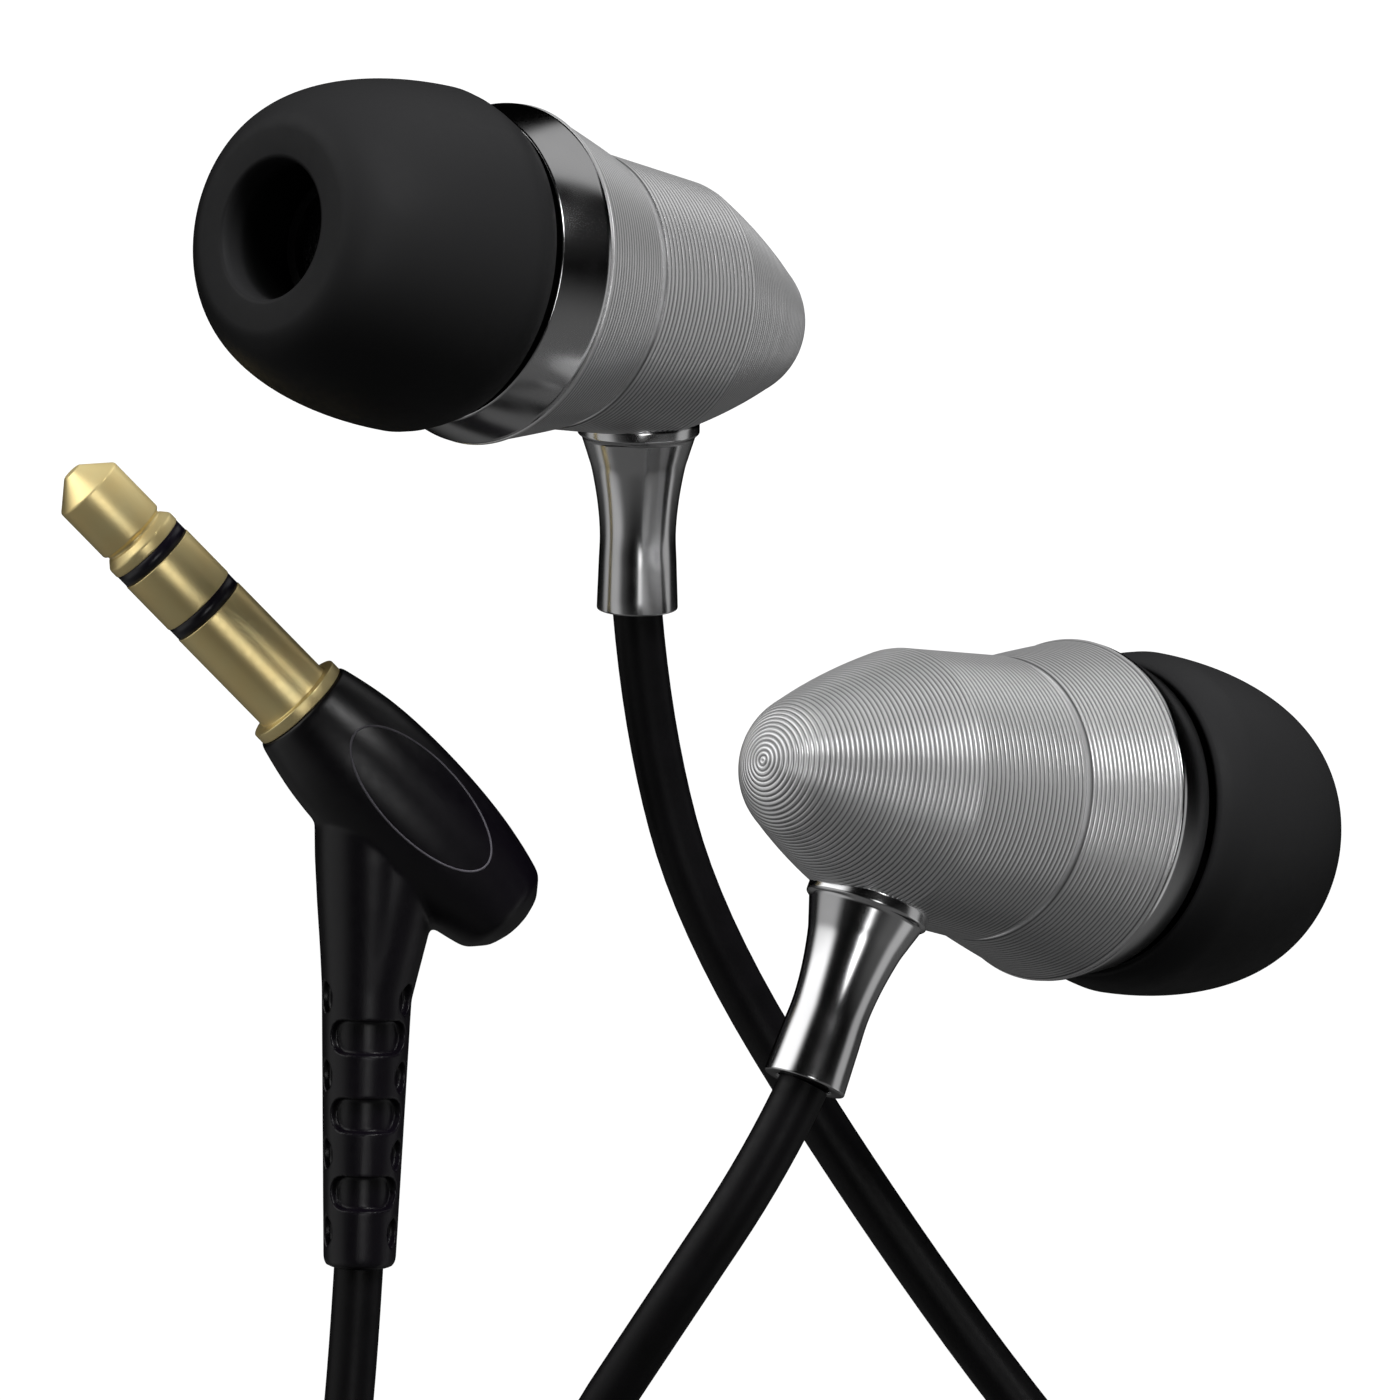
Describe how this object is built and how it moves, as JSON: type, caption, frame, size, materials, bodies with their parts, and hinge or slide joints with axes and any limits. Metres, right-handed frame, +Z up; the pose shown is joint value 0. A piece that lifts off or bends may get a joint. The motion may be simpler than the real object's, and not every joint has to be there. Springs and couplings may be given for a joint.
{
  "type": "wired earphones",
  "caption": "Wired in-ear earphones: ribbed housings with chrome stems and silicone tips, a Y-split cord and an angled 3.5 mm stereo plug.",
  "frame": {"origin": "bottom centre of the box around the two earphones as they lie on a table", "axes": "+Z up from the table, +X along the longer spread of the two earphones, the cord runs away towards -Y"},
  "size_m": [0.0612, 0.0989, 0.0254],
  "materials": {
    "shell": "fine turned ribs",
    "chrome": "polished",
    "tip_rubber": "satin silicone",
    "nozzle_plastic": "matte",
    "steel": "plain",
    "frame_steel": "plain",
    "magnet": "nickel plated",
    "copper": "enamelled",
    "film": "clear film",
    "board": "solder resist",
    "felt": "felt",
    "cord_sheath": "satin",
    "handle_rubber": "satin",
    "trim": "satin",
    "insulator": "gloss",
    "gold": "gold plated",
    "tie": "matte"
  },
  "bodies": {
    "earphones_and_cord": {"branch_coil_ties": "tie", "cord_splitter": "handle_rubber", "handle_oval_trim": "trim", "jack_insulators": "insulator", "jack_ring": "gold", "jack_sleeve": "gold", "jack_tip": "gold", "left_bezel_ring": "chrome", "left_cord_back": "cord_sheath", "left_cord_coil": "cord_sheath", "left_cord_front": "cord_sheath", "left_cord_knot": "cord_sheath", "left_driver_cover": "steel", "left_driver_frame": "frame_steel", "left_front_shell": "shell", "left_lead_wires": "copper", "left_magnet": "magnet", "left_nozzle": "nozzle_plastic", "left_nozzle_mesh": "steel", "left_rear_damper": "felt", "left_rear_shell": "shell", "left_stem_cord": "cord_sheath", "left_stem_tube": "chrome", "left_terminal_board": "board", "left_top_plate": "steel", "left_yoke": "steel", "main_coil_ties": "tie", "main_cord_back": "cord_sheath", "main_cord_coil": "cord_sheath", "main_cord_front": "cord_sheath", "plug_core": "nozzle_plastic", "plug_handle": "handle_rubber", "right_bezel_ring": "chrome", "right_cord_back": "cord_sheath", "right_cord_coil": "cord_sheath", "right_cord_front": "cord_sheath", "right_cord_knot": "cord_sheath", "right_driver_cover": "steel", "right_driver_frame": "frame_steel", "right_front_shell": "shell", "right_lead_wires": "copper", "right_magnet": "magnet", "right_nozzle": "nozzle_plastic", "right_nozzle_mesh": "steel", "right_rear_damper": "felt", "right_rear_shell": "shell", "right_stem_cord": "cord_sheath", "right_stem_tube": "chrome", "right_terminal_board": "board", "right_top_plate": "steel", "right_yoke": "steel", "solder_lugs": "gold"},
    "left_tip": {"left_ear_tip": "tip_rubber"},
    "right_tip": {"right_ear_tip": "tip_rubber"},
    "left_diaphragm_assembly": {"left_diaphragm": "film", "left_voice_coil": "copper"},
    "right_diaphragm_assembly": {"right_diaphragm": "film", "right_voice_coil": "copper"}
  },
  "joints": [
    {"name": "left_tip_pull", "type": "slide", "parent": "earphones_and_cord", "child": "left_tip", "axis": [-0.7001, 0.113, 0.7051], "range_m": [0, 0.0065]},
    {"name": "left_diaphragm_stroke", "type": "slide", "parent": "earphones_and_cord", "child": "left_diaphragm_assembly", "axis": [-0.7001, 0.113, 0.7051], "range_m": [-0.00015, 0.00015], "stiffness_N_per_m": 200},
    {"name": "right_tip_pull", "type": "slide", "parent": "earphones_and_cord", "child": "right_tip", "axis": [0.7092, -0.123, -0.6942], "range_m": [0, 0.0065]},
    {"name": "right_diaphragm_stroke", "type": "slide", "parent": "earphones_and_cord", "child": "right_diaphragm_assembly", "axis": [0.7092, -0.123, -0.6942], "range_m": [-0.00015, 0.00015], "stiffness_N_per_m": 200}
  ]
}
